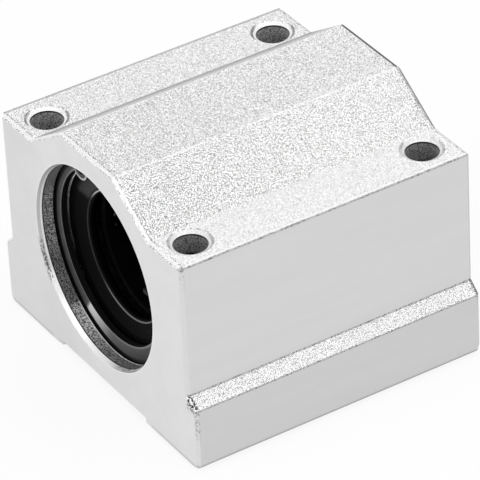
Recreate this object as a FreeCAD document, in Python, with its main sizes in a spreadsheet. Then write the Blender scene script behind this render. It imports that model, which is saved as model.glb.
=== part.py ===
import FreeCAD, Part
import math
import os
import Sketcher

# Driving sizes in millimetres, angles in degrees
SIZES = (
    # shaft that the block runs on, balls and the radial stack from the shaft out to the bore
    ("shaft_diameter", 20.0),
    ("shaft_clearance", 0.03),
    ("ball_diameter", 3.175),
    ("ball_gap", 0.05),
    ("ball_play", 0.06),
    ("raceway_play", 0.02),
    ("sleeve_wall", 2.755),
    ("sleeve_fit_gap", 0.02),
    # extruded housing: its length, and the walls round the bore that give its section
    ("block_length", 50.0),
    ("floor_under_bore", 5.0),
    ("wall_over_bore", 4.0),
    ("shoulder_drop", 6.0),
    ("crown_overhang", 0.4),
    ("crown_slope_width", 9.1),
    ("foot_height", 11.0),
    ("flare_height", 1.6),
    ("flare_width", 1.9),
    ("foot_edge_radius", 1.6),
    ("recess_width", 24.0),
    ("recess_depth", 0.8),
    ("end_chamfer", 0.5),
    # bore of the housing with its two ring grooves
    ("bore_mouth_width", 0.3),
    ("bore_mouth_depth", 0.8),
    ("groove_setback", 2.65),
    ("groove_width", 1.35),
    ("groove_depth", 0.85),
    # screw holes, tapped from the base, with the walls beside them
    ("screw_hole_diameter", 5.2),
    ("wall_from_bore_to_screw", 1.4),
    ("wall_beside_screw", 2.5),
    ("screw_setback", 5.0),
    ("thread_mouth_chamfer", 0.5),
    ("countersink_margin", 0.8),
    ("countersink_angle", 120.0),
    # retaining rings
    ("ring_thickness", 1.0),
    ("ring_groove_play", 0.1),
    ("ring_back_width", 3.4),
    ("ring_end_width", 2.2),
    ("ring_gap", 3.6),
    ("ring_ear_hole_diameter", 2.2),
    ("ring_ear_wall", 0.95),
    ("ring_gap_direction", 105.0),
    # steel sleeve of the bearing
    ("sleeve_chamfer", 0.6),
    ("sleeve_groove_inset", 5.75),
    ("sleeve_groove_width", 1.6),
    ("sleeve_groove_depth", 0.73),
    ("sleeve_mouth_wall", 1.18),
    ("sleeve_mouth_depth", 3.8),
    ("sleeve_mouth_chamfer", 0.4),
    # end seals, seen from the face inwards, and the steel rings behind them
    ("seal_inset", 0.5),
    ("seal_thickness", 2.4),
    ("seal_side_gap", 0.03),
    ("seal_edge_chamfer", 0.2),
    ("seal_back_clearance", 2.0),
    ("dish_clearance", 2.4),
    ("dish_step", 0.35),
    ("dish_floor_clearance", 1.9),
    ("lip_root_clearance", 0.35),
    ("lip_root_inset", 0.75),
    ("lip_inset", 1.1),
    ("lip_width", 0.5),
    ("lip_undercut", 0.4),
    ("side_ring_thickness", 0.8),
    ("side_ring_clearance", 0.67),
    # ball cage
    ("cage_bore_clearance", 0.27),
    ("cage_sleeve_gap", 0.175),
    ("cage_end_gap", 0.1),
    ("cage_end_wall", 0.6),
    ("cage_chamfer", 0.4),
    ("load_slot_width", 2.3),
    ("first_circuit_direction", 57.0),
)

CIRCUITS = 5
BALLS_IN_TURN = 2

doc = FreeCAD.newDocument("linear_bearing_block")
sheet = doc.addObject("Spreadsheet::Sheet", "Sizes")
for row, (alias, size) in enumerate(SIZES, start=1):
    sheet.set(f"A{row}", alias)
    sheet.set(f"B{row}", str(size))
    sheet.setAlias(f"B{row}", alias)
doc.recompute()


def sized(expression):
    """An expression in size names, as the document reads it."""
    for name in sorted((name for name, _ in SIZES), key=len, reverse=True):
        expression = expression.replace(f"<{name}>", f"Sizes.{name}")
    return expression


# Sizes that follow from the driving ones
HALF_LENGTH = "(<block_length> / 2)"
GROOVE_FACE = f"({HALF_LENGTH} - <groove_setback>)"
HALF_BEARING = f"({GROOVE_FACE} - <groove_width>)"
LIP_RADIUS = "(<shaft_diameter> / 2 + <shaft_clearance>)"
BALL_RADIUS = "(<ball_diameter> / 2)"
ROW_RADIUS = f"({LIP_RADIUS} + {BALL_RADIUS})"
CHANNEL_RADIUS = f"({BALL_RADIUS} + <ball_play>)"
RACEWAY_RADIUS = f"({LIP_RADIUS} + <ball_diameter> + <raceway_play>)"
SLEEVE_RADIUS = f"({RACEWAY_RADIUS} + <sleeve_wall>)"
BORE_RADIUS = f"({SLEEVE_RADIUS} + <sleeve_fit_gap>)"
BORE_HEIGHT = f"({BORE_RADIUS} + <floor_under_bore>)"
CROWN_HEIGHT = f"({BORE_HEIGHT} + {BORE_RADIUS} + <wall_over_bore>)"
SHOULDER_HEIGHT = f"({CROWN_HEIGHT} - <shoulder_drop>)"
HALF_CROWN_BASE = f"({BORE_RADIUS} + <crown_overhang>)"
HALF_CROWN_TOP = f"({HALF_CROWN_BASE} - <crown_slope_width>)"
SCREW_ACROSS = f"({BORE_RADIUS} + <wall_from_bore_to_screw> + <screw_hole_diameter> / 2)"
SCREW_ALONG = f"({HALF_LENGTH} - <screw_setback>)"
HALF_BODY = f"({SCREW_ACROSS} + <screw_hole_diameter> / 2 + <wall_beside_screw>)"
HALF_FOOT = f"({HALF_BODY} + <flare_width>)"
GROOVE_RADIUS = f"({BORE_RADIUS} + <groove_depth>)"
RING_RADIUS = f"({GROOVE_RADIUS} - <ring_groove_play>)"
MOUTH_RADIUS = f"({SLEEVE_RADIUS} - <sleeve_mouth_wall>)"
MOUTH_FLOOR = f"({HALF_BEARING} - <sleeve_mouth_depth>)"
SEAL_RADIUS = f"({MOUTH_RADIUS} - <seal_side_gap>)"
SEAL_FACE = f"({HALF_BEARING} - <seal_inset>)"
CAGE_HALF = f"({MOUTH_FLOOR} - <cage_end_gap>)"
CAGE_BORE_RADIUS = f"({LIP_RADIUS} + <cage_bore_clearance>)"
CAGE_RADIUS = f"({RACEWAY_RADIUS} - <cage_sleeve_gap>)"
# the balls in each half turn just clear each other, which sets its radius and the pitch
TURN_RADIUS = f"((<ball_diameter> + <ball_gap>) / (2 * sin(90 deg / {BALLS_IN_TURN})))"
BALL_PITCH = f"({TURN_RADIUS} * pi / {BALLS_IN_TURN})"


def value(expression):
    """The number that an expression gives now."""
    return float(sheet.evalExpression(sized(expression)))


# as many balls in a straight row as the cage has room for between its two turns
row_room = value(f"2 * ({CAGE_HALF} - <cage_end_wall> - {CHANNEL_RADIUS} - {TURN_RADIUS})")
BALLS_IN_ROW = math.floor(row_room / value(BALL_PITCH))
HALF_ROW = f"({BALL_PITCH} * {BALLS_IN_ROW} / 2)"


def bind(thing, prop, expression):
    """Ties a property to the sheet."""
    thing.setExpression(prop, sized(expression))


def new_body(label, height=None):
    """A body for one piece, raised to the bore's axis where height is given."""
    body = doc.addObject("PartDesign::Body", label)
    body.Label = label
    if height:
        bind(body, "Placement.Base.z", height)
    return body


def turn_to_circuit(piece, circuit=0):
    """Turns a piece about its own Y axis, so that its top comes to face along that ball circuit."""
    piece.Placement.Rotation = FreeCAD.Rotation(FreeCAD.Vector(0, 1, 0), 1)
    bind(piece, "Placement.Rotation.Angle", f"<first_circuit_direction> + {circuit} * 360 / {CIRCUITS}")


def new_sketch(body, name, plane, **offsets):
    """A sketch on an origin plane of the body, moved by offsets along its own axes."""
    sketch = body.newObject("Sketcher::SketchObject", name)
    support = next(f for f in body.Origin.OriginFeatures if f.Role == plane)
    sketch.AttachmentSupport = [(support, "")]
    sketch.MapMode = "FlatFace"
    for axis, expression in offsets.items():
        bind(sketch, f"AttachmentOffset.Base.{axis}", expression)
    doc.recompute()
    return sketch


def fix_coordinate(sketch, geometry, vertex, kind, expression):
    """Dimensions one coordinate of a point from the sketch's origin."""
    number = value(expression)
    if expression == "0":
        axis = -2 if kind == "DistanceX" else -1
        sketch.addConstraint(Sketcher.Constraint("PointOnObject", geometry, vertex, axis))
    elif number > 0:
        index = sketch.addConstraint(Sketcher.Constraint(kind, -1, 1, geometry, vertex, number))
        bind(sketch, f"Constraints[{index}]", expression)
    else:
        index = sketch.addConstraint(Sketcher.Constraint(kind, geometry, vertex, -1, 1, -number))
        bind(sketch, f"Constraints[{index}]", f"-({expression})")


def fix_point(sketch, geometry, vertex, across, up):
    fix_coordinate(sketch, geometry, vertex, "DistanceX", across)
    fix_coordinate(sketch, geometry, vertex, "DistanceY", up)


def vector(across, up):
    return FreeCAD.Vector(value(across), value(up), 0)


def draw_polygon(sketch, corners):
    """A closed outline through corners, each a pair of expressions."""
    first = sketch.GeometryCount
    count = len(corners)
    for number in range(count):
        start, end = corners[number], corners[(number + 1) % count]
        sketch.addGeometry(Part.LineSegment(vector(*start), vector(*end)), False)
    for number in range(count):
        following = first + (number + 1) % count
        sketch.addConstraint(Sketcher.Constraint("Coincident", first + number, 2, following, 1))
    for number, corner in enumerate(corners):
        fix_point(sketch, first + number, 1, *corner)


def draw_circle(sketch, across, up, radius):
    circle = Part.Circle(vector(across, up), FreeCAD.Vector(0, 0, 1), value(radius))
    geometry = sketch.addGeometry(circle, False)
    fix_point(sketch, geometry, 3, across, up)
    index = sketch.addConstraint(Sketcher.Constraint("Radius", geometry, value(radius)))
    bind(sketch, f"Constraints[{index}]", radius)


def draw_line(sketch, start, end):
    return sketch.addGeometry(Part.LineSegment(vector(*start), vector(*end)), False)


def draw_half_circle(sketch, centre, radius, first_degrees):
    """Half a circle that starts at first_degrees and runs anticlockwise."""
    circle = Part.Circle(vector(*centre), FreeCAD.Vector(0, 0, 1), value(radius))
    start = math.radians(first_degrees)
    geometry = sketch.addGeometry(Part.ArcOfCircle(circle, start, start + math.pi), False)
    fix_point(sketch, geometry, 3, *centre)
    index = sketch.addConstraint(Sketcher.Constraint("Radius", geometry, value(radius)))
    bind(sketch, f"Constraints[{index}]", radius)
    return geometry


def draw_track(sketch, reach="0", closed=True):
    """The way of one ball circuit, or that way moved sideways by reach.

    The loaded row lies on the sketch's upright axis, the return row beside it."""
    radius = f"({TURN_RADIUS} + ({reach}))" if reach != "0" else TURN_RADIUS
    far = draw_half_circle(sketch, (f"-{TURN_RADIUS}", HALF_ROW), radius, 0)
    near = draw_half_circle(sketch, (f"-{TURN_RADIUS}", f"-{HALF_ROW}"), radius, 180)
    left = f"(-{TURN_RADIUS} - {radius})"
    right = f"({radius} - {TURN_RADIUS})"
    return_side = draw_line(sketch, (left, HALF_ROW), (left, f"-{HALF_ROW}"))
    sketch.addConstraint(Sketcher.Constraint("Tangent", far, 2, return_side, 1))
    sketch.addConstraint(Sketcher.Constraint("Tangent", return_side, 2, near, 1))
    if closed:
        loaded_side = draw_line(sketch, (right, f"-{HALF_ROW}"), (right, HALF_ROW))
        sketch.addConstraint(Sketcher.Constraint("Tangent", near, 2, loaded_side, 1))
        sketch.addConstraint(Sketcher.Constraint("Tangent", loaded_side, 2, far, 1))
    else:
        fix_coordinate(sketch, far, 1, "DistanceY", HALF_ROW)
        fix_coordinate(sketch, near, 2, "DistanceY", f"-{HALF_ROW}")


def add_feature(body, kind, name, sketch, **settings):
    feature = body.newObject(f"PartDesign::{kind}", name)
    feature.Profile = sketch
    for prop, setting in settings.items():
        setattr(feature, prop, setting)
    return feature


def pad_both_ways(body, name, sketch, length, kind="Pad"):
    """A pad or pocket of the full length, half to each side of its sketch."""
    feature = add_feature(body, kind, name, sketch, SideType="Symmetric")
    bind(feature, "Length", length)
    doc.recompute()
    return feature


def revolve(body, name, sketch, kind="Revolution"):
    """A full turn about the sketch's level axis."""
    feature = add_feature(body, kind, name, sketch, ReferenceAxis=(sketch, ["H_Axis"]), Angle=360)
    doc.recompute()
    return feature


def cut_volume(body, before, name):
    """Stops the build if a cutting feature took nothing away."""
    after = body.Shape.Volume
    if before - after < 1e-3:
        raise RuntimeError(f"{name} cuts nothing")
    return after


def edges_where(shape, test):
    return [f"Edge{number}" for number, edge in enumerate(shape.Edges, start=1) if test(edge)]


def in_plane(edge, axis, level, tolerance=1e-4):
    """True if the edge lies in the plane where the named coordinate equals level."""
    box = edge.BoundBox
    low, high = getattr(box, f"{axis}Min"), getattr(box, f"{axis}Max")
    return abs(low - level) < tolerance and abs(high - level) < tolerance


def mirrored_outline(right_half):
    """A whole outline from its right half, listed from the bottom up."""
    left_half = [(f"-({across})", up) for across, up in reversed(right_half)]
    return right_half + left_half


# Housing: extruded block with a crown over the bore and a flared foot
housing = new_body("housing")
profile = new_sketch(housing, "housing_profile", "XZ_Plane")
draw_polygon(profile, mirrored_outline([
    ("<recess_width> / 2", "<recess_depth>"),
    ("<recess_width> / 2", "0"),
    (HALF_FOOT, "0"),
    (HALF_FOOT, "<foot_height>"),
    (HALF_BODY, "<foot_height> + <flare_height>"),
    (HALF_BODY, SHOULDER_HEIGHT),
    (HALF_CROWN_BASE, SHOULDER_HEIGHT),
    (HALF_CROWN_TOP, CROWN_HEIGHT),
]))
extrusion = pad_both_ways(housing, "extrusion", profile, "<block_length>")

# the die rounds the two long edges that the foot stands on
half_foot = value(HALF_FOOT)
foot_edges = edges_where(
    extrusion.Shape,
    lambda edge: in_plane(edge, "Z", 0)
    and (in_plane(edge, "X", half_foot) or in_plane(edge, "X", -half_foot)),
)
foot_rounding = housing.newObject("PartDesign::Fillet", "foot_rounding")
foot_rounding.Base = (extrusion, foot_edges)
bind(foot_rounding, "Radius", "<foot_edge_radius>")
doc.recompute()
volume = cut_volume(housing, extrusion.Shape.Volume, "foot_rounding")

# both sawn ends have their outer edges broken
half_length = value(HALF_LENGTH)
end_edges = edges_where(
    foot_rounding.Shape,
    lambda edge: in_plane(edge, "Y", half_length) or in_plane(edge, "Y", -half_length),
)
end_chamfers = housing.newObject("PartDesign::Chamfer", "end_chamfers")
end_chamfers.Base = (foot_rounding, end_edges)
bind(end_chamfers, "Size", "<end_chamfer>")
doc.recompute()
volume = cut_volume(housing, volume, "end_chamfers")

# bore with steep lead-in mouths and the two grooves of the retaining rings
bore_sketch = new_sketch(housing, "bore_profile", "YZ_Plane", y=BORE_HEIGHT)
draw_polygon(bore_sketch, mirrored_outline([
    (HALF_LENGTH, "0"),
    (HALF_LENGTH, f"{BORE_RADIUS} + <bore_mouth_width>"),
    (f"{HALF_LENGTH} - <bore_mouth_depth>", BORE_RADIUS),
    (GROOVE_FACE, BORE_RADIUS),
    (GROOVE_FACE, GROOVE_RADIUS),
    (HALF_BEARING, GROOVE_RADIUS),
    (HALF_BEARING, BORE_RADIUS),
]))
revolve(housing, "bore", bore_sketch, "Groove")
volume = cut_volume(housing, volume, "bore")

# four holes down through the shoulders, countersunk at the top
screw_sketch = new_sketch(housing, "screw_positions", "XY_Plane", z=SHOULDER_HEIGHT)
for side in ("", "-"):
    for end in ("", "-"):
        centre = (f"{side}{SCREW_ACROSS}", f"{end}{SCREW_ALONG}")
        draw_circle(screw_sketch, *centre, "<screw_hole_diameter> / 2")
doc.recompute()
screw_holes = add_feature(housing, "Hole", "screw_holes", screw_sketch)
doc.recompute()
screw_holes.DepthType = "ThroughAll"
screw_holes.ThreadType = "None"
screw_holes.HoleCutType = "Countersink"
screw_holes.HoleCutCustomValues = True
bind(screw_holes, "Diameter", "<screw_hole_diameter>")
bind(screw_holes, "HoleCutDiameter", "<screw_hole_diameter> + 2 * <countersink_margin>")
bind(screw_holes, "HoleCutCountersinkAngle", "<countersink_angle>")
doc.recompute()
volume = cut_volume(housing, volume, "screw_holes")

# the tapped ends in the base have a lead-in of their own
hole_mouths = edges_where(
    screw_holes.Shape,
    lambda edge: in_plane(edge, "Z", 0) and isinstance(edge.Curve, Part.Circle),
)
thread_mouths = housing.newObject("PartDesign::Chamfer", "thread_mouths")
thread_mouths.Base = (screw_holes, hole_mouths)
bind(thread_mouths, "Size", "<thread_mouth_chamfer>")
doc.recompute()
cut_volume(housing, volume, "thread_mouths")


# Retaining rings: sprung steel rings, widest opposite the gap, with an eared end each side of it
def make_retaining_ring(label, end):
    """end is 1 at the rear face and -1 at the front face."""
    ring = new_body(label, BORE_HEIGHT)
    bind(ring, "Placement.Base.y", f"{end} * ({HALF_BEARING} + <ring_thickness> / 2)")
    ring.Placement.Rotation = FreeCAD.Rotation(FreeCAD.Vector(0, -1, 0), 1)
    bind(ring, "Placement.Rotation.Angle", "<ring_gap_direction> - 90")
    band_sketch = new_sketch(ring, f"{label}_band", "XZ_Plane")
    inner_centre = "(<ring_back_width> - <ring_end_width>) / 2"
    inner_radius = f"({RING_RADIUS} - (<ring_back_width> + <ring_end_width>) / 2)"
    draw_circle(band_sketch, "0", "0", RING_RADIUS)
    draw_circle(band_sketch, "0", inner_centre, inner_radius)
    pad_both_ways(ring, f"{label}_pad", band_sketch, "<ring_thickness>")
    ear_radius = "(<ring_ear_hole_diameter> / 2 + <ring_ear_wall>)"
    ear_across = f"(<ring_gap> / 2 + {ear_radius})"
    ear_up = f"sqrt(pow({RING_RADIUS} - {ear_radius}; 2) - pow({ear_across}; 2))"
    ear_sketch = new_sketch(ring, f"{label}_ears", "XZ_Plane")
    for side in ("", "-"):
        draw_circle(ear_sketch, f"{side}{ear_across}", ear_up, ear_radius)
    pad_both_ways(ring, f"{label}_ear_pad", ear_sketch, "<ring_thickness>")
    before = ring.Shape.Volume
    cut_sketch = new_sketch(ring, f"{label}_cuts", "XZ_Plane")
    draw_polygon(cut_sketch, [
        ("-<ring_gap> / 2", f"{inner_radius} / 2"),
        ("<ring_gap> / 2", f"{inner_radius} / 2"),
        ("<ring_gap> / 2", f"2 * {RING_RADIUS}"),
        ("-<ring_gap> / 2", f"2 * {RING_RADIUS}"),
    ])
    for side in ("", "-"):
        draw_circle(cut_sketch, f"{side}{ear_across}", ear_up, "<ring_ear_hole_diameter> / 2")
    pad_both_ways(ring, f"{label}_pocket", cut_sketch, "2 * <ring_thickness>", "Pocket")
    cut_volume(ring, before, f"{label}_pocket")
    return ring


# Ball way of one circuit: a round channel in which the balls have a little play
def cut_ball_way(body, name, closed):
    """Sweeps the channel along the whole track, or along all of it but the loaded row."""
    way = new_sketch(body, f"{name}_way", "XY_Plane", z=ROW_RADIUS)
    draw_track(way, closed=closed)
    section = new_sketch(body, f"{name}_section", "XZ_Plane", z=f"-{HALF_ROW}")
    draw_circle(section, "0", ROW_RADIUS, CHANNEL_RADIUS)
    doc.recompute()
    pipe = add_feature(body, "SubtractivePipe", f"{name}_channel", section)
    pipe.Spine = (way, [])
    doc.recompute()
    return pipe


def repeat_around(body, name, originals):
    """Repeats cutting features once for each circuit, about the bore's axis."""
    pattern = body.newObject("PartDesign::PolarPattern", name)
    pattern.Originals = originals
    axis = next(f for f in body.Origin.OriginFeatures if f.Role == "Y_Axis")
    pattern.Axis = (axis, [""])
    pattern.Angle = 360
    pattern.Occurrences = CIRCUITS
    body.Tip = pattern
    doc.recompute()
    return pattern


# Bearing sleeve: hardened steel tube with counterbored ends, two outer grooves and relieved returns
sleeve = new_body("bearing_sleeve", BORE_HEIGHT)
turn_to_circuit(sleeve)
sleeve_sketch = new_sketch(sleeve, "sleeve_profile", "YZ_Plane")
groove_far = f"({HALF_BEARING} - <sleeve_groove_inset>)"
groove_near = f"({groove_far} - <sleeve_groove_width>)"
groove_floor = f"({SLEEVE_RADIUS} - <sleeve_groove_depth>)"
draw_polygon(sleeve_sketch, mirrored_outline([
    (MOUTH_FLOOR, RACEWAY_RADIUS),
    (MOUTH_FLOOR, MOUTH_RADIUS),
    (f"{HALF_BEARING} - <sleeve_mouth_chamfer>", MOUTH_RADIUS),
    (HALF_BEARING, f"{MOUTH_RADIUS} + <sleeve_mouth_chamfer>"),
    (HALF_BEARING, f"{SLEEVE_RADIUS} - <sleeve_chamfer>"),
    (f"{HALF_BEARING} - <sleeve_chamfer>", SLEEVE_RADIUS),
    (groove_far, SLEEVE_RADIUS),
    (groove_far, groove_floor),
    (groove_near, groove_floor),
    (groove_near, SLEEVE_RADIUS),
]))
revolve(sleeve, "sleeve_turning", sleeve_sketch)
volume = sleeve.Shape.Volume
return_way = cut_ball_way(sleeve, "sleeve", closed=False)
repeat_around(sleeve, "sleeve_ways", [return_way])
cut_volume(sleeve, volume, "sleeve_ways")

# Ball cage: moulded tube with an endless track for each circuit
cage = new_body("ball_cage", BORE_HEIGHT)
turn_to_circuit(cage)
cage_sketch = new_sketch(cage, "cage_profile", "YZ_Plane")
draw_polygon(cage_sketch, mirrored_outline([
    (f"{CAGE_HALF} - <cage_chamfer>", CAGE_BORE_RADIUS),
    (CAGE_HALF, f"{CAGE_BORE_RADIUS} + <cage_chamfer>"),
    (CAGE_HALF, CAGE_RADIUS),
]))
revolve(cage, "cage_tube", cage_sketch)
volume = cage.Shape.Volume
ball_way = cut_ball_way(cage, "cage", closed=True)

# the track is open to the sleeve over its whole width
window_sketch = new_sketch(cage, "track_window", "XY_Plane", z=ROW_RADIUS)
draw_track(window_sketch, reach=CHANNEL_RADIUS)
draw_track(window_sketch, reach=f"-{CHANNEL_RADIUS}")
doc.recompute()
window = add_feature(cage, "Pocket", "track_windows", window_sketch, Reversed=True)
bind(window, "Length", CAGE_RADIUS)
doc.recompute()

# and to the shaft only along the loaded row, through a slot too narrow for a ball
slot_sketch = new_sketch(cage, "load_slot", "XY_Plane")
draw_polygon(slot_sketch, mirrored_outline([
    ("<load_slot_width> / 2", f"-{HALF_ROW}"),
    ("<load_slot_width> / 2", HALF_ROW),
]))
slot = add_feature(cage, "Pocket", "load_slots", slot_sketch, Reversed=True)
bind(slot, "Length", ROW_RADIUS)
doc.recompute()
repeat_around(cage, "cage_tracks", [ball_way, window, slot])
cut_volume(cage, volume, "cage_tracks")


# End seals: rubber rings pressed into the sleeve's mouths, thinned to a lip that wipes the shaft
def make_seal(label, end):
    seal = new_body(label, BORE_HEIGHT)
    sketch = new_sketch(seal, f"{label}_profile", "YZ_Plane")
    back = f"({SEAL_FACE} - <seal_thickness>)"
    lip_outer = f"({SEAL_FACE} - <lip_inset>)"
    lip_inner = f"({lip_outer} - <lip_width>)"
    outline = [
        (back, SEAL_RADIUS),
        (f"{SEAL_FACE} - <seal_edge_chamfer>", SEAL_RADIUS),
        (SEAL_FACE, f"{SEAL_RADIUS} - <seal_edge_chamfer>"),
        (SEAL_FACE, f"{LIP_RADIUS} + <dish_clearance>"),
        (f"{SEAL_FACE} - <dish_step>", f"{LIP_RADIUS} + <dish_floor_clearance>"),
        (f"{SEAL_FACE} - <lip_root_inset>", f"{LIP_RADIUS} + <lip_root_clearance>"),
        (lip_outer, LIP_RADIUS),
        (lip_inner, LIP_RADIUS),
        (f"{lip_inner} - <lip_undercut>", f"{LIP_RADIUS} + <lip_width>"),
        (back, f"{LIP_RADIUS} + <seal_back_clearance>"),
    ]
    draw_polygon(sketch, [(f"{end} * ({along})", radius) for along, radius in outline])
    revolve(seal, f"{label}_ring", sketch)
    return seal


# Side rings: steel washers that close the cage in behind the seals
def make_side_ring(label, end):
    ring = new_body(label, BORE_HEIGHT)
    sketch = new_sketch(ring, f"{label}_profile", "YZ_Plane")
    back = f"{end} * {MOUTH_FLOOR}"
    face = f"{end} * ({MOUTH_FLOOR} + <side_ring_thickness>)"
    draw_polygon(sketch, [
        (back, SEAL_RADIUS),
        (face, SEAL_RADIUS),
        (face, f"{LIP_RADIUS} + <side_ring_clearance>"),
        (back, f"{LIP_RADIUS} + <side_ring_clearance>"),
    ])
    revolve(ring, f"{label}_washer", sketch)
    return ring


pieces = [housing, sleeve, cage]
for place, end in (("front", -1), ("rear", 1)):
    pieces.append(make_retaining_ring(f"{place}_retaining_ring", end))
    pieces.append(make_seal(f"{place}_seal", end))
    pieces.append(make_side_ring(f"{place}_side_ring", end))


# Balls: the four stretches of each circuit, each a group of separate steel balls
def make_balls(label, circuit, spots):
    """spots are pairs of expressions, sideways and along, in the circuit's own plane."""
    balls = []
    for number, (across, along) in enumerate(spots, start=1):
        ball = doc.addObject("Part::Sphere", f"{label}_{number}")
        bind(ball, "Radius", BALL_RADIUS)
        bind(ball, "Placement.Base.x", across)
        bind(ball, "Placement.Base.y", along)
        bind(ball, "Placement.Base.z", ROW_RADIUS)
        balls.append(ball)
    group = doc.addObject("Part::Compound", label)
    group.Label = label
    group.Links = balls
    turn_to_circuit(group, circuit)
    bind(group, "Placement.Base.z", BORE_HEIGHT)
    return group


def row_spots(across):
    """Balls at half-pitch from both ends of a straight row."""
    return [(across, f"({number} + 0.5) * {BALL_PITCH} - {HALF_ROW}") for number in range(BALLS_IN_ROW)]


def turn_spots(end):
    """Balls at half-pitch from both ends of a half turn."""
    spots = []
    for number in range(BALLS_IN_TURN):
        angle = (number + 0.5) * 180 / BALLS_IN_TURN
        across = f"{TURN_RADIUS} * (cos({angle} deg) - 1)"
        along = f"{end} * ({HALF_ROW} + {TURN_RADIUS} * sin({angle} deg))"
        spots.append((across, along))
    return spots


for circuit in range(CIRCUITS):
    number = circuit + 1
    pieces.append(make_balls(f"loaded_balls_{number}", circuit, row_spots("0")))
    pieces.append(make_balls(f"return_balls_{number}", circuit, row_spots(f"-2 * {TURN_RADIUS}")))
    pieces.append(make_balls(f"front_turn_balls_{number}", circuit, turn_spots(-1)))
    pieces.append(make_balls(f"rear_turn_balls_{number}", circuit, turn_spots(1)))

doc.recompute()
for item in doc.Objects:
    if {"Invalid", "Error"} & set(item.State):
        raise RuntimeError(f"{item.Label} failed: {item.State}")

os.makedirs("parts", exist_ok=True)
for piece in pieces:
    if piece.Shape.isNull() or not piece.Shape.isValid():
        raise RuntimeError(f"{piece.Label} has no valid shape")
    piece.Shape.exportStep(f"parts/{piece.Label}.step")
    print(piece.Label, len(piece.Shape.Solids), "solids", round(piece.Shape.Volume, 2), "mm3")
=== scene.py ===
import math

import bpy
from mathutils import Matrix, Vector


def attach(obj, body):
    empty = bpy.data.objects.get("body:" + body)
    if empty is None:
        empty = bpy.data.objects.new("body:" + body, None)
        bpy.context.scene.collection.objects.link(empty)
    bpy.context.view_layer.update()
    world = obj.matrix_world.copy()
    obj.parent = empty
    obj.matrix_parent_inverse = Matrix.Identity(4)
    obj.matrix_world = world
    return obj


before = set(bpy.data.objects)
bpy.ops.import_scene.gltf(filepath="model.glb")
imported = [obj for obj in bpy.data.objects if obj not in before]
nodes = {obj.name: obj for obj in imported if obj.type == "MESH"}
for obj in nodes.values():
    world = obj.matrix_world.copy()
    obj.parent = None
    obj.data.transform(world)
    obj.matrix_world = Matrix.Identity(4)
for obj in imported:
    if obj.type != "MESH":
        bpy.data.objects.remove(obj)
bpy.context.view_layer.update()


# Housing: one length of extruded aluminium, blasted and clear anodised. Its crown, shoulders and the flare of
# its foot keep the blasted grain. The sides are smooth from the die and the sawn ends are satin, with painted
# highlights and painted shade on the cut edges. The bore and the screw holes are cut rough, and painted shade
# makes them dark.
FINE = 0.0001


def grey(level):
    return (level, level, level, 1.0)


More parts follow.
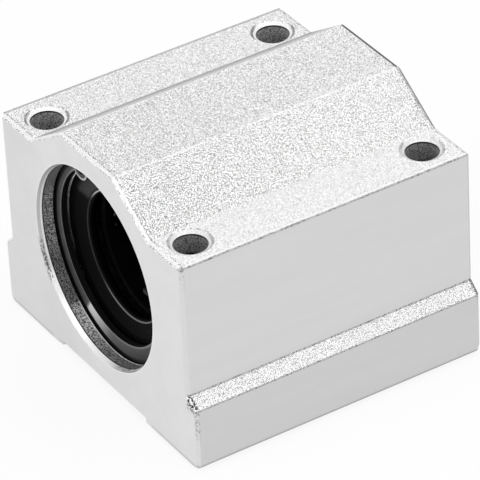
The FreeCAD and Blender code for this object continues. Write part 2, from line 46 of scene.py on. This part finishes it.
class Shade:
    """One socket of a finish. Arithmetic on it adds Math nodes."""

    def __init__(self, tree, socket=None):
        self.tree = tree
        self.socket = socket

    def node(self, kind, settings, sockets, output=0):
        """A node of that kind: its settings come first, then the values or links of its sockets."""
        made = self.tree.nodes.new(kind)
        for name, setting in settings.items():
            setattr(made, name, setting)
        for name, given in sockets.items():
            if isinstance(given, Shade):
                self.tree.links.new(given.socket, made.inputs[name])
            else:
                made.inputs[name].default_value = given
        return Shade(self.tree, made.outputs[output] if made.outputs else None)

    def output(self, name):
        """Another output of the same node."""
        return Shade(self.tree, self.socket.node.outputs[name])

    def math(self, operation, first, second=0.0):
        return self.node("ShaderNodeMath", {"operation": operation}, {0: first, 1: second})

    def __add__(self, other):
        return self.math("ADD", self, other)

    def __radd__(self, other):
        return self.math("ADD", other, self)

    def __sub__(self, other):
        return self.math("SUBTRACT", self, other)

    def __rsub__(self, other):
        return self.math("SUBTRACT", other, self)

    def __mul__(self, other):
        return self.math("MULTIPLY", self, other)

    def __rmul__(self, other):
        return self.math("MULTIPLY", other, self)

    def __abs__(self):
        return self.math("ABSOLUTE", self)

    def sign(self):
        return self.math("SIGN", self)

    def largest(self, other):
        return self.math("MAXIMUM", self, other)

    def rise(self, low, high):
        """0 up to low and 1 from high on, smooth between. A low above high turns it round."""
        return self.node(
            "ShaderNodeMapRange",
            {"interpolation_type": "SMOOTHSTEP"},
            {"Value": self, "From Min": low, "From Max": high},
        )

    def above(self, edge, soft=FINE):
        """1 where this number is over the edge. It starts to rise that much before it."""
        return self.rise(edge - soft, edge)

    def below(self, edge, soft=FINE):
        """1 where this number is under the edge. It has gone that much past it."""
        return self.rise(edge + soft, edge)

    def line(self, width):
        """A fine line where this number is 0."""
        return abs(self).rise(width, width * 0.6)

    def arc(self, first, last, soft):
        """1 where this angle is between the two, in degrees, with ends that fade over so many degrees."""
        return self.rise(first, first + soft) * self.rise(last + soft, last)

    def distance(self, other):
        """The length of the flat vector of two numbers."""
        return self.math("SQRT", self * self + other * other)

    def direction(self, other):
        """The angle of the flat vector of two numbers, in degrees, anticlockwise from the first one."""
        return self.math("ARCTAN2", other, self) * math.degrees(1)

    def parts(self):
        """The three numbers of a vector."""
        across = self.node("ShaderNodeSeparateXYZ", {}, {"Vector": self})
        return across, across.output("Y"), across.output("Z")

    def facing(self):
        """The three numbers of the direction that the flat face points in."""
        return self.node("ShaderNodeNewGeometry", {}, {}, "True Normal").parts()

    def speckle(self, size, detail=0.0, stretch=(1.0, 1.0, 1.0)):
        """Noise with grains about that many metres across, longer along an axis with a small stretch."""
        place = self.node("ShaderNodeVectorMath", {"operation": "MULTIPLY"}, {0: self, 1: stretch})
        return self.node(
            "ShaderNodeTexNoise",
            {},
            {"Vector": place, "Scale": 1 / size, "Detail": detail, "Roughness": 0.6},
        )

    def blend(self, first, second):
        """The first colour where this mask is 0, and the second where it is 1."""
        return self.node("ShaderNodeMix", {"data_type": "RGBA"}, {0: self, 6: first, 7: second}, 2)

    def tones(self, first, second):
        """The first grey where this mask is 0, and the second where it is 1."""
        return self.blend(grey(first), grey(second))

    def relief(self, height, depth):
        """The surface normal of a relief of that depth, in metres."""
        return self.node("ShaderNodeBump", {}, {"Height": height, "Distance": depth, "Strength": 1.0})

    def surface(self, **sockets):
        """The finish itself, with these values and links on its sockets."""
        named = {name.replace("_", " "): given for name, given in sockets.items()}
        shader = self.node("ShaderNodeBsdfPrincipled", {}, named)
        self.node("ShaderNodeOutputMaterial", {}, {"Surface": shader})


def painted(colour, *layers):
    """The colour with layers over it, each a mask and the colour that shows there."""
    for mask, layer in layers:
        colour = mask.blend(colour, layer)
    return colour


def new_finish(name):
    """An empty finish, and the place on the piece that it is worked out from."""
    finish = bpy.data.materials.new(name)
    finish.use_nodes = True
    finish.node_tree.nodes.clear()
    return finish, Shade(finish.node_tree).node("ShaderNodeTexCoord", {}, {}, "Object")


def coat(node, finish):
    """Gives a CAD node its finish."""
    for material_slot in nodes[node].material_slots:
        material_slot.material = finish


HALF_LENGTH = 0.025
CHAMFER_INNER_LINE = 0.02430
CHAMFER_OUTER_LINE = 0.02492
REAR_LINE_START = 0.02427
BORE_AXIS_HEIGHT = 0.021
BORE_RADIUS = 0.016
BORE_RIM_RADIUS = 0.0163
BORE_MOUTH_START = 0.0242
RING_GROOVE_FRONT = 0.02235
SCREW_SPACING = 0.040
SCREW_HOLE_RADIUS = 0.0026
SCREW_RIM_HEIGHT = 0.0344
SCREW_DARK_HEIGHT = 0.0311
COUNTERSINK_RADIUS = 0.0031
SHOULDER_HEIGHT = 0.035
FOOT_LINE_START = 0.0145

# long corners of the section that show as fine lines, of painted highlight on the crown and of painted shade
# at
# the others: distance from the middle, height and line width
CROWN_CORNER = (0.0073, 0.041, 0.00020)
DARK_CORNERS = (
    (0.0251, 0.03488, 0.00022),
    (0.0251, 0.0127, 0.00020),
    (0.0270, 0.0109, 0.00020),
)

# the corner between the front, the right side and the right shoulder, where the saw left a burr
BURR_CORNER = (0.0249, -0.0247, 0.0348)

# each countersink's rim has painted shade on the two sides that lie this way from its middle
SHADED_WAY = (0.54, 0.84)

aluminium, place = new_finish("anodised_aluminium")
x, y, z = place.parts()
facing_x, facing_y, facing_z = place.facing()
half_x = abs(x)
half_y = abs(y)
from_axis = x.distance(z - BORE_AXIS_HEIGHT)
round_axis = x.direction(z - BORE_AXIS_HEIGHT)
screw_x = half_x - SCREW_SPACING / 2
screw_y = half_y - SCREW_SPACING / 2
from_screw = screw_x.distance(screw_y)
left_side = x.rise(0.001, -0.001)
rear_half = y.rise(-0.001, 0.001)
rearward = y.rise(-0.022, 0.024)

# the surfaces of the block, each as a mask
end_face = abs(facing_y).rise(0.90, 0.95) * (1 - half_y.below(HALF_LENGTH - 0.0002))
bore_mouth = from_axis.below(BORE_RADIUS + 0.00032, 0.00003) * half_y.above(BORE_MOUTH_START)
bore_mouth = bore_mouth * (1 - end_face)
bore_wall = from_axis.below(BORE_RADIUS + 0.0011) * half_y.below(BORE_MOUTH_START)
hole_wall = from_screw.below(SCREW_HOLE_RADIUS) * abs(facing_z).rise(0.3, 0.2)
cut_edge = abs(facing_y).rise(0.50, 0.55) * abs(facing_y).rise(0.95, 0.90) * (1 - bore_mouth)
upward = facing_z.rise(0.3, 0.4) * (1 - end_face) * (1 - cut_edge)
level = abs(facing_z).rise(0.97, 0.99)
shoulder = level * z.below(SHOULDER_HEIGHT + 0.001, 0.001) * z.above(BORE_AXIS_HEIGHT, 0.001)
crown_slope = upward * (1 - level) * z.above(0.031, 0.001)
far_slope = facing_x.rise(-0.3, -0.5) * crown_slope
flare = upward * z.below(0.015, 0.001) * z.above(0.009, 0.001)
base = facing_z.rise(-0.80, -0.95)
countersink = from_screw.below(COUNTERSINK_RADIUS, 0.0002) * upward

# grains and marks
grain = place.speckle(0.00012).rise(0.38, 0.54)
drawn = place.speckle(0.0014, 2.0, (1.0, 0.05, 0.6)).rise(0.2, 0.8)
sawn = place.speckle(0.0050, 3.0).rise(0.2, 0.8)
rough_cut = (place.speckle(0.00016) * 0.65 + place.speckle(0.0004, 1.0) * 0.35).rise(0.36, 0.64)
patchy = place.speckle(0.0011, 2.0).rise(0.35, 0.6)
ragged = place.speckle(0.00030, 1.0).rise(0.50, 0.62)

# blasted skins: one grain for all, strongest on the slopes and crisp on the flare, and weaker to the rear
crown_skin = rearward.blend(grain.tones(0.25, 1.0), grain.tones(0.32, 1.0))
slope_skin = rearward.blend(grain.tones(0.11, 1.0), grain.tones(0.27, 1.0))
# the far slope is painted with shade: its grain is darker, and darkest towards the fold at its foot
far_slope_shaded_skin = z.rise(0.0352, 0.0400).blend(grain.tones(0.16, 0.40), grain.tones(0.34, 0.74))
shoulder_skin = left_side.blend(grain.tones(0.56, 1.0), grain.tones(0.40, 1.0))
flare_skin = grain.rise(0.0, 0.16).tones(0.24, 1.0)
countersink_skin = left_side.blend(grain.tones(0.62, 0.86), grain.tones(0.72, 1.0))

# smooth skins: drawn sides, a little darker on the foot, and sawn ends with faint cloudy marks
side_skin = z.below(0.0110, 0.0018).blend(drawn.tones(0.695, 0.715), drawn.tones(0.635, 0.655))
end_skin = painted(
    sawn.tones(0.735, 0.775),
    (x.rise(0.000, -0.012) * z.below(0.010, 0.006) * 0.3, grey(0.58)),
    (x.rise(-0.012, -0.020), sawn.tones(0.70, 0.74)),
)

# cut edges, where the saw cut broke the upper front edges: a painted highlight there, and painted shade at
# the rear and on the edges that face down and to the left
facing_up = facing_z.rise(0.1, 0.3)
edge_glints_and_shade = painted(
    facing_up.blend(grey(0.74), grain.tones(0.66, 0.98)),
    ((facing_x + facing_z).rise(-0.3, -0.5), grey(0.42)),
    (rear_half, facing_up.tones(0.50, 0.18)),
)

# fine lines along the corners: painted highlights on the crown and at the right shoulder's edge, painted
# shade along the rear, the foot and the left shoulder's edge, and dark dotted lines along the chamfers
crown_line = (half_x - CROWN_CORNER[0]).distance(z - CROWN_CORNER[1]).line(CROWN_CORNER[2])
inner_line = (half_y - CHAMFER_INNER_LINE).line(0.00016) * facing_z.rise(0.3, 0.4)
outer_line = (half_y - CHAMFER_OUTER_LINE).line(0.00012) * facing_z.rise(0.2, 0.3)
chamfer_lines = inner_line.largest(outer_line) * ragged * 0.8
rear_line = y.above(REAR_LINE_START, 0.00008) * upward * z.above(SHOULDER_HEIGHT + 0.0007, 0.0003)
rear_line = rear_line * (1 - crown_slope * 0.75)
foot_line = z.below(0.0007, 0.0006) * (abs(facing_x) + abs(facing_y)).rise(0.2, 0.4)
foot_line = foot_line * half_x.above(FOOT_LINE_START, 0.001) * (1 - abs(facing_y) * 0.6)
right_line = (x - 0.0247).line(0.00014) * shoulder * 0.7
left_line = (x + 0.0249).line(0.0003) * shoulder * 0.6

# burrs that the saw left at both ends of the right flare, on the corner above it and down the edge between
flare_burr = place.speckle(0.00028, 1.0).rise(0.46, 0.54) * half_y.rise(0.0242, 0.0245)
flare_burr = flare_burr * x.rise(0.0246, 0.0250) * z.rise(0.0098, 0.0112) * z.rise(0.0130, 0.0127)
from_corner = (x - BURR_CORNER[0]).distance(y - BURR_CORNER[1]).distance(z - BURR_CORNER[2])
corner_burr = from_corner.rise(0.0006, 0.0003) * (0.4 + ragged * 0.6)
foot_specks = z.rise(0.0050, 0.0070) * z.rise(0.0120, 0.0110)
top_specks = z.rise(0.029, 0.034) * 0.5
side_specks = (y + 0.0246).line(0.0004) * facing_x.rise(0.4, 0.6) * ragged
side_specks = side_specks * foot_specks.largest(top_specks)

# countersinks: painted shade darkens the rim on two sides, more on the left
along_way = screw_x * x.sign() * SHADED_WAY[0] + screw_y * y.sign() * SHADED_WAY[1]
rim_shade = (from_screw - COUNTERSINK_RADIUS - FINE).line(0.00026) * upward
rim_shade = rim_shade * abs(along_way).rise(0.0024, 0.0030) * (0.15 + patchy * 0.35 + left_side * 0.4)

# bore: a turned mouth with painted highlights at its lower left and along its inner edge, a tool mark on its
# left rim, and a wall cut rough, with painted light on its lower arc and painted shade behind the mouth and
# from the ring's groove inwards
mouth_glint = round_axis.arc(-153, -62, 6)
# a painted highlight along the rim of the bore on the end face
rim_line = (from_axis - BORE_RIM_RADIUS - FINE).line(0.00010) * end_face * 0.4
# the mouth: a painted highlight along its inner edge and a painted glint over its lower left
mouth_skin = painted(
    half_y.rise(0.02458, 0.02446).tones(0.66, 0.98),
    (mouth_glint, grey(1.0)),
    (round_axis.arc(-80, -40, 8) * rough_cut, grey(0.40)),
)
tool_mark = place.speckle(0.00026, 1.0, (1.0, 1.0, 0.5)).rise(0.44, 0.54) * round_axis.arc(-170, -147, 6)
tool_mark = tool_mark * from_axis.rise(0.01612, 0.01620) * from_axis.rise(0.0171, 0.0167)
tool_mark = tool_mark * y.rise(-0.0243, -0.0245)
# the wall's tones round the bore are painted light and shade: lit on the lower arc, darker round the rest,
# darkest right behind the mouth and from the groove inwards, with a painted highlight on the groove's front
# edge where it is lit
left_arc = round_axis.rise(155.8, 166.2).largest(round_axis.rise(-149.0, -171.9))
lit_arc = round_axis.arc(-129, -52, 2)
lit_skin = round_axis.rise(-125, -65).blend(rough_cut.tones(0.08, 0.92), rough_cut.tones(0.02, 0.34))
bore_skin = painted(
    left_arc.blend(rough_cut.tones(0.20, 0.40), rough_cut.tones(0.03, 0.90)),
    (round_axis.arc(-166, -50, 14), rough_cut.tones(0.02, 0.38)),
    (lit_arc, lit_skin),
    ((half_y - RING_GROOVE_FRONT - 0.00007).line(0.00014) * lit_arc, grey(1.0)),
    (half_y.rise(0.02400, 0.02412), grey(0.03)),
    (half_y.below(RING_GROOVE_FRONT - 0.00001, 0.00002), grey(0.012)),
)

# screw holes: drilled rough, with painted shade just under the rim and further down
hole_skin = rough_cut.blend(grey(0.20), left_side.tones(0.76, 0.94))
hole_shade = z.above(SCREW_RIM_HEIGHT, 0.0003).largest(z.below(SCREW_DARK_HEIGHT, 0.0004))
hole_skin = hole_shade.blend(hole_skin, grey(0.03))

# the skins of the faces, with the painted shade of the far slope, the painted highlights and shade of the cut
# edges, and a painted highlight along the crown's corner
colour = painted(
    side_skin,
    (end_face, end_skin),
    (upward, crown_skin),
    (crown_slope, slope_skin),
    (shoulder * upward, shoulder_skin),
    (flare, flare_skin),
    (far_slope, far_slope_shaded_skin),
    (cut_edge, edge_glints_and_shade),
    (chamfer_lines, grey(0.22)),
    (crown_line * (0.2 + patchy * 0.4), grey(0.98)),
)
# fine lines of painted shade along the long corners
for across, height, width in DARK_CORNERS:
    corner_shade_line = (half_x - across).distance(z - height).line(width) * (1 - end_face)
    colour = (corner_shade_line * (0.25 + ragged * 0.6)).blend(colour, grey(0.10))
# painted shade along the rear, foot and left shoulder's edges and over the underside, and a painted highlight
# on the right shoulder's edge
colour = painted(
    colour,
    (rear_line, grey(0.08)),
    (foot_line * 0.8, grey(0.26)),
    (right_line, grey(0.99)),
    (left_line, grey(0.35)),
    (base, grey(0.45)),
    (flare_burr, grey(0.02)),
    (corner_burr, grey(0.04)),
    (side_specks * 0.6, grey(0.24)),
    (countersink, countersink_skin),
    (rim_shade, grey(0.14)),
    (rim_line, grey(0.96)),
    (bore_mouth, mouth_skin),
    (tool_mark * 0.9, grey(0.12)),
    (bore_wall, bore_skin),
    (hole_wall, hole_skin),
)
place.surface(
    Base_Color=colour,
    Metallic=0.5 + bore_mouth * mouth_glint * 0.5,
    Roughness=0.42 + upward * 0.12 - bore_mouth * mouth_glint * 0.2,
    Normal=place.relief(grain * upward, 0.00002),
)
coat("housing", aluminium)


# Screw threads: the lower end of each screw hole is tapped, so its wall has ridges that wind up from the
# base. They are bare cut aluminium, a little brighter than the drilled wall above them.
THREAD_PITCH = 0.001
THREAD_TURNS = 12
THREAD_STEPS = 36
THREAD_HEIGHT = 0.0001
THREAD_ROOT = 0.00036
THREAD_CREST = 0.00008
THREAD_BITE = 0.00001

steps = THREAD_TURNS * THREAD_STEPS
rise = THREAD_TURNS * THREAD_PITCH - 2 * THREAD_ROOT
wall = SCREW_HOLE_RADIUS + THREAD_BITE
thread_points = []
thread_faces = []
for step in range(steps + 1):
    turned = 2 * math.pi * step / THREAD_STEPS
    height = THREAD_ROOT + rise * step / steps
    run_out = min(1.0, step / THREAD_STEPS * 2, (steps - step) / THREAD_STEPS * 2)
    crest = SCREW_HOLE_RADIUS - THREAD_HEIGHT * run_out
    ridge = ((wall, -THREAD_ROOT), (crest, -THREAD_CREST), (crest, THREAD_CREST), (wall, THREAD_ROOT))
    for radius, up in ridge:
        thread_points.append((radius * math.cos(turned), radius * math.sin(turned), height + up))
    if step:
        old, new = 4 * step - 4, 4 * step
        for side in range(4):
            other = (side + 1) % 4
            thread_faces.append((old + side, old + other, new + other, new + side))
thread_faces.append((0, 3, 2, 1))
thread_faces.append((4 * steps, 4 * steps + 1, 4 * steps + 2, 4 * steps + 3))
thread_mesh = bpy.data.meshes.new("screw_thread")
thread_mesh.from_pydata(thread_points, [], thread_faces)
thread_mesh.update()

cut_aluminium, place = new_finish("cut_aluminium")
chatter = place.speckle(0.0003, 2.0).rise(0.3, 0.7)
place.surface(Base_Color=chatter.tones(0.35, 0.62), Metallic=0.8, Roughness=0.32)
thread_mesh.materials.append(cut_aluminium)
for side, across in (("left", -SCREW_SPACING / 2), ("right", SCREW_SPACING / 2)):
    for end, along in (("front", -SCREW_SPACING / 2), ("rear", SCREW_SPACING / 2)):
        thread = bpy.data.objects.new(f"{end}_{side}_screw_thread", thread_mesh)
        bpy.context.scene.collection.objects.link(thread)
        thread.location = (across, along, 0)
        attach(thread, "block")


# Retaining rings: stamped from spring steel, blackened, and sprung into the grooves of the bore by their two
# ears. The faces have a dull sheen, with painted light on their lower arc, painted highlights along the inner
# edge and round the ears' rims, and painted shade on the outer margin in the groove. The stamped sides are
# painted near black, as shade.
RING_INNER_CENTRE = (-0.000155, 0.021580)
RING_INNER_RADIUS = 0.01395
RING_EARS = ((-0.00739, 0.03370), (0.00005, 0.03570))
RING_EAR_RADIUS = 0.00205
RING_EAR_RIM = 0.00018
RING_SHADE_RADIUS = 0.0156

blackened, place = new_finish("blackened_spring_steel")
x, y, z = place.parts()
facing_x, facing_y, facing_z = place.facing()
round_axis = x.direction(z - BORE_AXIS_HEIGHT)
flat = abs(facing_y).rise(0.5, 0.8)
mottle = place.speckle(0.0012, 3.0).rise(0.25, 0.75)
from_inner_edge = (x - RING_INNER_CENTRE[0]).distance(z - RING_INNER_CENTRE[1]) - RING_INNER_RADIUS
# painted light on the lower arc of the face, which fades and goes dark towards its right end
lit_face = round_axis.rise(-92, -124).tones(0.14, 0.90)
lit_face = round_axis.rise(-98, -50).blend(lit_face, grey(0.04))
# the face, with a painted highlight along its inner edge and painted shade on its outer margin in the groove
ring_face = painted(
    mottle.tones(0.08, 0.12),
    (round_axis.arc(-124, 0, 3), lit_face),
    (from_inner_edge.rise(0.00045, 0.0001) * 0.25, grey(0.60)),
    (x.distance(z - BORE_AXIS_HEIGHT).above(RING_SHADE_RADIUS, 0.0004), grey(0.008)),
)
# the ears are darker, with a painted highlight round their rims
for ear_x, ear_z in RING_EARS:
    from_ear = (x - ear_x).distance(z - ear_z)
    ear = from_ear.below(RING_EAR_RADIUS - FINE)
    ear_rim = (from_ear - RING_EAR_RADIUS + RING_EAR_RIM).line(0.00022)
    ring_face = painted(ring_face, (ear, grey(0.03)), (ear_rim, grey(0.45)))
# the stamped sides are painted near black, as shade
place.surface(
    Base_Color=flat.blend(grey(0.01), ring_face),
    Metallic=0.6,
    Roughness=0.40 + mottle * 0.10,
    Normal=place.relief(mottle, 0.00001),
)
coat("front_retaining_ring", blackened)
coat("rear_retaining_ring", blackened)


# Seals: moulded black nitrile rubber on each end of the bearing, with a thin lip that wipes the shaft.
# The rubber is dull, with the fine orange skin of its mould and a painted sheen on a patch at its upper left.
# Painted highlights run along the chamfer of its outer edge on the left and round the root of the lip.
SEAL_EDGE_RADIUS = 0.01467
LIP_ROOT_RADIUS = 0.01038
LIP_ROOT_DEPTH = 0.0192

rubber, place = new_finish("black_rubber")
x, y, z = place.parts()
round_axis = x.direction(z - BORE_AXIS_HEIGHT)
from_axis = x.distance(z - BORE_AXIS_HEIGHT)
skin = place.speckle(0.00035, 2.0).rise(0.3, 0.7)
# a painted sheen on a patch of the face at the upper left
sheen = round_axis.arc(118, 146, 8) * from_axis.rise(0.0103, 0.0110) * from_axis.rise(0.0135, 0.0120)
bead = abs(from_axis - SEAL_EDGE_RADIUS).rise(0.00025, 0.0)
# a painted highlight along the chamfer of the outer edge, on the left
seal_edge_glint = (from_axis - SEAL_EDGE_RADIUS).line(0.00028)
seal_edge_glint = seal_edge_glint * round_axis.rise(126, 137.5).largest(round_axis.rise(-154.7, -166.2))
# a painted highlight along the root of the lip, strongest at the upper left
lip_root = (from_axis - LIP_ROOT_RADIUS).line(0.00013) * abs(y).above(LIP_ROOT_DEPTH, 0.0002)
lip_glint = 0.04 + round_axis.arc(-135, -45, 25) * 0.18 + round_axis.arc(95, 130, 20) * 0.60
rubber_colour = painted(
    skin.tones(0.0005, 0.002),
    (sheen, grey(0.05)),
    (seal_edge_glint, grey(1.0)),
    (lip_root * lip_glint, grey(0.9)),
)
place.surface(
    Base_Color=rubber_colour,
    Metallic=seal_edge_glint,
    Roughness=0.50 + skin * 0.12 - seal_edge_glint * 0.25,
    Specular_IOR_Level=0.04,
    Normal=place.relief(skin * 0.1 + bead, 0.00012),
)
coat("front_seal", rubber)
coat("rear_seal", rubber)


# Bearing sleeve: turned from bearing steel, hardened and ground, with the raceways ground along its inside.
# Grinding leaves very fine rings round it.
ground_steel, place = new_finish("ground_steel")
rings = place.speckle(0.0009, 2.0, (0.2, 12.0, 0.2)).rise(0.25, 0.75)
place.surface(
    Base_Color=rings.tones(0.52, 0.64),
    Metallic=1.0,
    Roughness=0.20 + rings * 0.10,
    Normal=place.relief(rings, 0.000003),
)
coat("bearing_sleeve", ground_steel)


# Ball cage: moulded in one piece from black glass-filled plastic. It holds the five endless ball tracks.
# The mould leaves a fine matte skin with faint flow marks.
moulded, place = new_finish("black_plastic")
flow = place.speckle(0.0030, 3.0, (1.0, 0.3, 1.0)).rise(0.3, 0.7)
pores = place.speckle(0.00030, 1.0).rise(0.3, 0.7)
place.surface(
    Base_Color=flow.tones(0.001, 0.003),
    Roughness=0.50 + pores * 0.15,
    Specular_IOR_Level=0.05,
    Normal=place.relief(pores, 0.000008),
)
coat("ball_cage", moulded)


# Side rings: plain steel washers, stamped and tumbled, that close the cage in at both ends of the sleeve.
# They are much darker than the ground sleeve.
tumbled, place = new_finish("tumbled_steel")
marks = place.speckle(0.0006, 3.0).rise(0.3, 0.7)
place.surface(
    Base_Color=marks.tones(0.02, 0.04),
    Metallic=1.0,
    Roughness=0.34 + marks * 0.12,
    Normal=place.relief(marks, 0.000006),
)
coat("front_side_ring", tumbled)
coat("rear_side_ring", tumbled)


# Balls: lapped chrome steel, ninety in five endless rows. Their colour is painted nearly black, as shade
# inside the bearing, and in patches they are rougher and a little darker.
polished, place = new_finish("polished_balls")
dull_patches = place.speckle(0.0016, 2.0).rise(0.35, 0.75)
place.surface(
    Base_Color=dull_patches.tones(0.04, 0.02),
    Metallic=1.0,
    Roughness=0.24 + dull_patches * 0.20,
)
for circuit in range(1, 6):
    for stretch in ("loaded", "return", "front_turn", "rear_turn"):
        coat(f"{stretch}_balls_{circuit}", polished)


# Floor and background: a plain white sweep that the block stands on. Straight looks and mirrored looks see
# it nearly white, and the block's soft shadow stays on it.
FLOOR_HALF = 4.0
FLOOR_DROP = 0.00002
FLOOR_WHITE = 0.97
FLOOR_GLOW = 0.88
SKY_LIGHT = 0.62

floor_mesh = bpy.data.meshes.new("floor")
floor_corners = [(a * FLOOR_HALF, b * FLOOR_HALF, 0) for a, b in ((-1, -1), (1, -1), (1, 1), (-1, 1))]
floor_mesh.from_pydata(floor_corners, [], [(0, 1, 2, 3)])
floor = bpy.data.objects.new("floor", floor_mesh)
bpy.context.scene.collection.objects.link(floor)
floor.location = (0, 0, -FLOOR_DROP)


def seen_directly(tree):
    """1 for rays from the camera and for mirrored or refracted ones, and 0 for soft light."""
    ray = Shade(tree).node("ShaderNodeLightPath", {}, {}, "Is Camera Ray")
    return ray.largest(ray.output("Is Glossy Ray")).largest(ray.output("Is Transmission Ray"))


white_floor = bpy.data.materials.new("white_floor")
white_floor.use_nodes = True
white_floor.node_tree.nodes.clear()
direct = seen_directly(white_floor.node_tree)
paper = direct.node("ShaderNodeBsdfDiffuse", {}, {"Color": grey(FLOOR_WHITE)})
glow = direct.node("ShaderNodeEmission", {}, {"Color": grey(1.0), "Strength": 1.0})
mixed = direct.node("ShaderNodeMixShader", {}, {0: direct * FLOOR_GLOW, 1: paper, 2: glow})
direct.node("ShaderNodeOutputMaterial", {}, {"Surface": mixed})
floor_mesh.materials.append(white_floor)

studio = bpy.data.worlds.new("studio")
bpy.context.scene.world = studio
studio.use_nodes = True
studio.node_tree.nodes.clear()
direct = seen_directly(studio.node_tree)
soft_sky = direct.node("ShaderNodeBackground", {}, {"Color": grey(1.0), "Strength": SKY_LIGHT})
white_sky = direct.node("ShaderNodeBackground", {}, {"Color": grey(1.0), "Strength": 1.0})
sky = direct.node("ShaderNodeMixShader", {}, {0: direct, 1: soft_sky, 2: white_sky})
direct.node("ShaderNodeOutputWorld", {}, {"Surface": sky})


# Lamps: large soft boxes, one over the block, one at its front left and one at its right.
# They all point at the middle of the block.
BLOCK_MIDDLE = Vector((0, 0, 0.02))


def soft_box(name, position, size, power):
    lamp = bpy.data.lights.new(name, "AREA")
    lamp.shape = "SQUARE"
    lamp.size = size
    lamp.energy = power
    box = bpy.data.objects.new(name, lamp)
    bpy.context.scene.collection.objects.link(box)
    box.location = position
    box.rotation_euler = (BLOCK_MIDDLE - Vector(position)).to_track_quat("-Z", "Y").to_euler()


soft_box("top_box", (0.15, 0.10, 0.95), 0.8, 3.4)
soft_box("front_box", (-0.25, -0.95, 0.45), 0.7, 1.6)
soft_box("right_box", (0.95, 0.25, 0.45), 0.7, 0.4)


# Camera: a long lens about 0.7 m away, at the front right of the block and above it. It is turned a little on
# its axis.
CAMERA_PLACE = (0.48820, -0.29298, 0.40917)
CAMERA_RIGHT = (0.54013, 0.84044, -0.04385)
CAMERA_DOWN = (0.45911, -0.33792, -0.82160)
CAMERA_LENS = 347.26
CAMERA_SENSOR = 36.0

view = bpy.data.cameras.new("camera")
view.lens = CAMERA_LENS
view.sensor_width = CAMERA_SENSOR
view.clip_start = 0.01
view.clip_end = 20.0
camera = bpy.data.objects.new("camera", view)
bpy.context.scene.collection.objects.link(camera)
right = Vector(CAMERA_RIGHT).normalized()
upright = -Vector(CAMERA_DOWN)
back = right.cross(upright).normalized()
upright = back.cross(right)
camera.matrix_world = Matrix.Translation(CAMERA_PLACE) @ Matrix((right, upright, back)).transposed().to_4x4()
bpy.context.scene.camera = camera
bpy.context.scene.view_settings.view_transform = "Standard"
